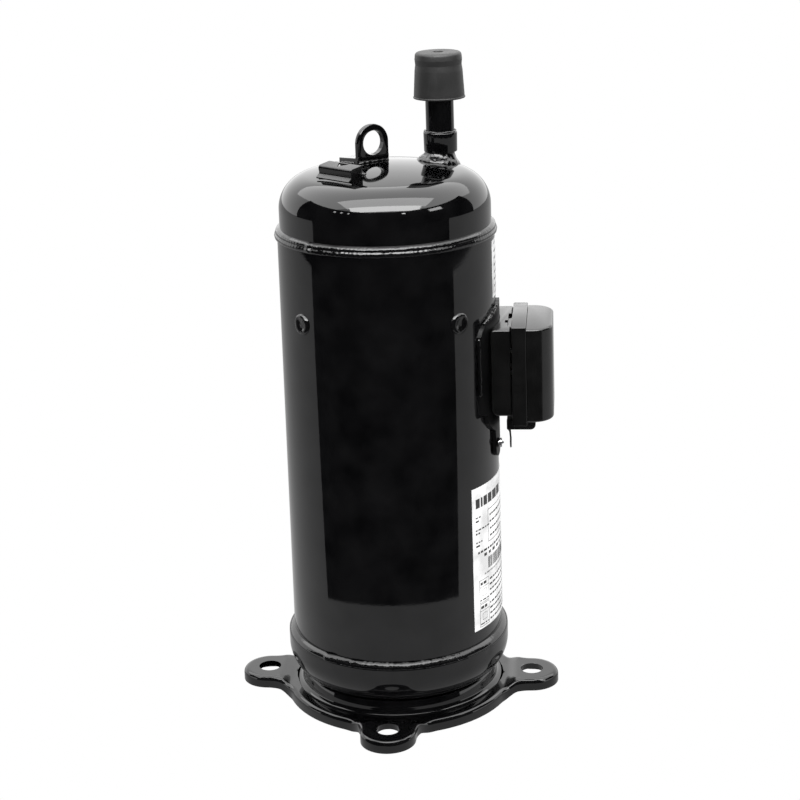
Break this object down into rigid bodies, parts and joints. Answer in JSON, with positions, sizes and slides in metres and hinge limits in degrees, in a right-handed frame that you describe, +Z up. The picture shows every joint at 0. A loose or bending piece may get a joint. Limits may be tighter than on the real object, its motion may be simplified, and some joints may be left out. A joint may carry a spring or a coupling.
{
  "type": "hermetic scroll compressor",
  "caption": "Vertical hermetic scroll compressor: tall black welded shell with domed cap, capped suction stub, lifting eye, side terminal box and footed base, internals included.",
  "frame": {"origin": "on the floor under the shaft's axis, at the middle of the base ring's lower edge", "axes": "+Z up along the shaft; +X towards the terminal box and one foot; the other feet lie along +Y, -X and -Y; the discharge stub points along +Y"},
  "size_m": [0.2524, 0.2524, 0.5035],
  "materials": {
    "black_paint": "gloss black enamel",
    "rubber": "matte moulded rubber",
    "box_plastic": "semi-gloss moulded plastic",
    "label_white": "white printed film",
    "steel": "machined",
    "cast_iron": "as cast and machined",
    "lamination": "stacked sheet steel",
    "copper_wire": "enamelled copper wire",
    "aluminium": "die cast and machined",
    "bronze": "bearing bronze"
  },
  "bodies": {
    "casing": {"base_plate": "black_paint", "bottom_cap": "black_paint", "bottom_weld": "black_paint", "shell_tube": "black_paint", "top_cap": "black_paint", "top_weld": "black_paint", "plug_weld_1": "black_paint", "plug_weld_2": "black_paint", "plug_weld_3": "black_paint", "plug_weld_4": "black_paint", "suction_tube": "black_paint", "suction_collar": "black_paint", "suction_weld": "black_paint", "discharge_tube": "black_paint", "discharge_weld": "black_paint", "lifting_lug": "black_paint", "sensor_clip": "black_paint", "terminal_disc": "steel", "terminal_pin_1": "steel", "terminal_pin_2": "steel", "terminal_pin_3": "steel", "terminal_flange": "black_paint", "earth_screw": "steel", "terminal_box": "box_plastic", "terminal_rim": "box_plastic", "cable_outlet": "box_plastic", "outlet_wire": "steel", "name_label": "label_white", "upper_label": "label_white", "main_frame": "cast_iron", "main_bearing": "bronze", "fixed_scroll": "cast_iron", "scroll_bolt_1": "steel", "scroll_bolt_2": "steel", "scroll_bolt_3": "steel", "scroll_bolt_4": "steel", "discharge_stop": "steel", "reed_screw": "steel", "stator_core": "lamination", "stator_winding": "copper_wire", "lower_frame": "cast_iron", "lower_bearing": "bronze", "suction_valve_spring": "steel"},
    "shaft": {"crankshaft": "steel", "oil_pickup": "steel", "rotor_core": "lamination", "upper_end_ring": "aluminium", "lower_end_ring": "aluminium", "upper_balance_weight": "bronze", "lower_balance_weight": "bronze"},
    "orbiting_scroll": {"orbiting_scroll": "aluminium", "orbiting_bearing": "bronze"},
    "gallery_plug": {"oil_gallery_plug": "bronze"},
    "oldham_ring": {"oldham_ring": "steel"},
    "suction_valve": {"suction_valve_disc": "steel"},
    "discharge_reed": {"discharge_reed": "steel"},
    "terminal_cover": {"terminal_cover": "box_plastic"},
    "suction_plug": {"suction_plug": "rubber"},
    "discharge_plug": {"discharge_plug": "rubber"}
  },
  "joints": [
    {"name": "shaft_spin", "type": "hinge", "parent": "casing", "child": "shaft", "pos_m": [0, 0, 0.2], "axis": [0, 0, 1], "continuous": true},
    {"name": "scroll_orbit", "type": "hinge", "parent": "shaft", "child": "orbiting_scroll", "pos_m": [0.005, 0, 0.297], "axis": [0, 0, 1], "continuous": true},
    {"name": "gallery_plug_turn", "type": "hinge", "parent": "shaft", "child": "gallery_plug", "pos_m": [0.0025, 0, 0.305], "axis": [0, 0, 1], "continuous": true},
    {"name": "oldham_slide", "type": "hinge", "parent": "gallery_plug", "child": "oldham_ring", "pos_m": [0.005, 0, 0.308], "axis": [0, 0, 1], "continuous": true},
    {"name": "suction_valve_lift", "type": "slide", "parent": "casing", "child": "suction_valve", "axis": [0, 0, -1], "range_m": [0, 0.006], "stiffness_N_per_m": 60, "springref_m": -0.002, "deforming": ["suction_valve_spring"]},
    {"name": "discharge_reed_lift", "type": "hinge", "parent": "casing", "child": "discharge_reed", "pos_m": [-0.0263, 0, 0.36205], "axis": [0, -1, 0], "range_deg": [0, 6], "stiffness_Nm_per_rad": 0.05, "springref_deg": -2.86},
    {"name": "cover_pull", "type": "slide", "parent": "casing", "child": "terminal_cover", "axis": [1, 0, 0], "range_m": [0, 0.05]},
    {"name": "suction_plug_pull", "type": "slide", "parent": "casing", "child": "suction_plug", "axis": [0, 0, 1], "range_m": [0, 0.045]},
    {"name": "discharge_plug_pull", "type": "slide", "parent": "casing", "child": "discharge_plug", "axis": [0, 1, 0], "range_m": [0, 0.035]}
  ],
  "couplings": [
    {"joint": "scroll_orbit", "follows": "shaft_spin", "ratio": -1},
    {"joint": "gallery_plug_turn", "follows": "shaft_spin", "ratio": -2},
    {"joint": "oldham_slide", "follows": "shaft_spin", "ratio": 1}
  ]
}
